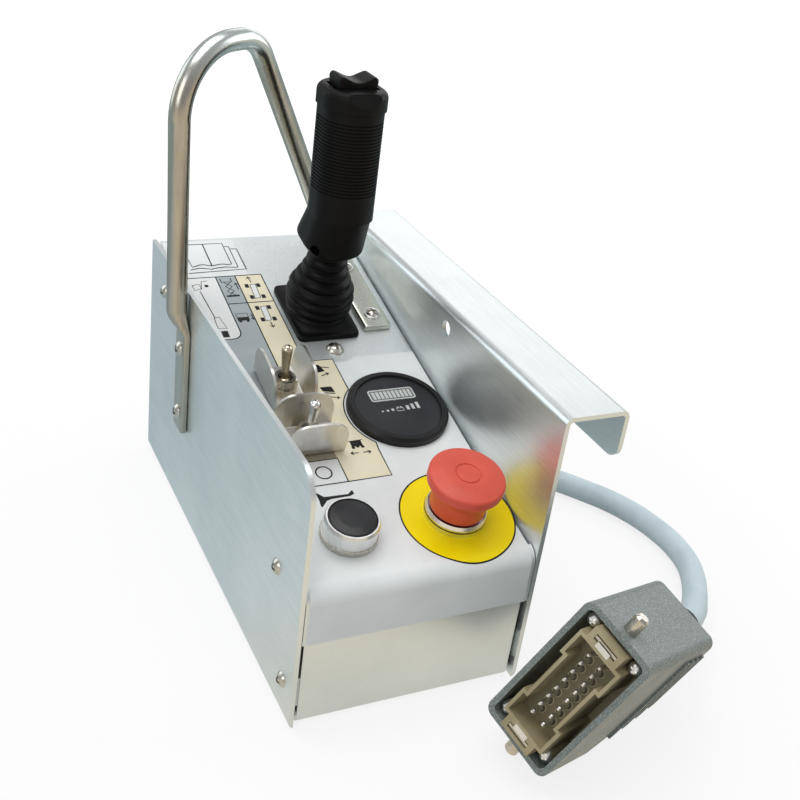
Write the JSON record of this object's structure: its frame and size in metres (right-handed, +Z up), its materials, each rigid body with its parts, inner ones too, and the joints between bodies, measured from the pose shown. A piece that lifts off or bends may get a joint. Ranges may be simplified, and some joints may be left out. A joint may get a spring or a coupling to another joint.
{
  "type": "platform control box",
  "caption": "Sloping control box with a rail hook, hoop handle, joystick, guarded toggles, round gauge, emergency stop, horn button and a short lead with a rectangular plug.",
  "frame": {"origin": "centre of the chassis bottom, on its lower face", "axes": "+Z up, front (low end of the panel) at -Y, rail hook at +X"},
  "size_m": [0.3136, 0.3743, 0.294],
  "materials": {
    "sheet": "brushed, unpainted folded sheet",
    "film": "printed satin film",
    "steel": "zinc plated",
    "tube": "polished stainless tube",
    "guard": "bare folded sheet",
    "boot": "moulded rubber",
    "grip": "fine grained",
    "black_plastic": "moulded",
    "gauge_glass": "smooth clear front over a dark face",
    "red": "smooth moulded",
    "chrome": "polished plating",
    "contact": "moulded",
    "strip": "moulded",
    "hood": "powder coated cast hood",
    "cable": "smooth sheath"
  },
  "bodies": {
    "enclosure": {"chassis": "sheet", "control_panel": "sheet", "panel_film": "film", "wall_screws": "steel", "panel_nuts": "steel", "hoop_handle": "tube", "hoop_side_screws": "steel", "hoop_panel_screws": "steel", "hoop_nuts": "steel", "joystick_base": "black_plastic", "joystick_pivot_pin": "steel", "joystick_screws": "steel", "joystick_boot": "boot", "gauge_bezel": "black_plastic", "gauge_face": "gauge_glass", "gauge_case": "black_plastic", "gauge_clamp": "steel", "estop_collar": "chrome", "estop_nut": "black_plastic", "estop_contact_block": "contact", "horn_bezel": "chrome", "horn_nut": "black_plastic", "horn_contact_block": "contact", "rear_toggle_body": "black_plastic", "rear_toggle_nut": "chrome", "rear_toggle_guard": "guard", "front_toggle_body": "black_plastic", "front_toggle_nut": "chrome", "front_toggle_guard": "guard", "terminal_strip": "strip", "terminal_screws": "steel", "cable_gland_body": "black_plastic", "cable_gland_nut": "black_plastic", "cable_gland_locknut": "steel", "power_cable": "cable", "plug_hood": "hood", "plug_gland": "black_plastic", "plug_insert": "strip", "plug_pins": "steel", "plug_earth_contacts": "steel", "plug_insert_screws": "steel", "plug_locking_pegs": "steel"},
    "joystick": {"joystick_shaft": "steel", "grip_front_shell": "grip", "grip_rear_shell": "grip", "grip_cap": "grip", "grip_screw": "steel", "trigger_pin": "steel", "rocker_pin": "steel"},
    "enable_trigger": {"enable_trigger": "grip"},
    "steer_rocker": {"steer_rocker": "grip"},
    "rear_toggle": {"rear_toggle_lever": "chrome"},
    "front_toggle": {"front_toggle_lever": "chrome"},
    "estop_button": {"estop_mushroom": "red", "estop_stem": "black_plastic"},
    "horn_button": {"horn_cap": "black_plastic", "horn_plunger": "black_plastic"}
  },
  "joints": [
    {"name": "joystick_tilt", "type": "hinge", "parent": "enclosure", "child": "joystick", "pos_m": [0.014, 0.06215, 0.12168], "axis": [1, 0, 0], "range_deg": [-15, 15], "stiffness_Nm_per_rad": 6, "deforming": ["joystick_boot"]},
    {"name": "trigger_squeeze", "type": "hinge", "parent": "joystick", "child": "enable_trigger", "pos_m": [0.016, 0.05965, 0.24954], "axis": [-1, 0, 0], "range_deg": [0, 6], "stiffness_Nm_per_rad": 0.6, "springref_deg": -5.73},
    {"name": "rocker_tilt", "type": "hinge", "parent": "joystick", "child": "steer_rocker", "pos_m": [0.016, 0.04365, 0.27104], "axis": [0, 1, 0], "range_deg": [-8, 8], "stiffness_Nm_per_rad": 0.15},
    {"name": "rear_toggle_swing", "type": "hinge", "parent": "enclosure", "child": "rear_toggle", "pos_m": [-0.0285, -0.00338, 0.12069], "axis": [1, 0, 0], "range_deg": [0, 22]},
    {"name": "front_toggle_swing", "type": "hinge", "parent": "enclosure", "child": "front_toggle", "pos_m": [-0.0285, -0.04378, 0.11121], "axis": [0, 0.9736, 0.2284], "range_deg": [-13, 13]},
    {"name": "estop_press", "type": "slide", "parent": "enclosure", "child": "estop_button", "axis": [0, 0.2284, -0.9736], "range_m": [0, 0.004]},
    {"name": "horn_press", "type": "slide", "parent": "enclosure", "child": "horn_button", "axis": [0, 0.2284, -0.9736], "range_m": [0, 0.003], "stiffness_N_per_m": 300, "springref_m": -0.003}
  ]
}
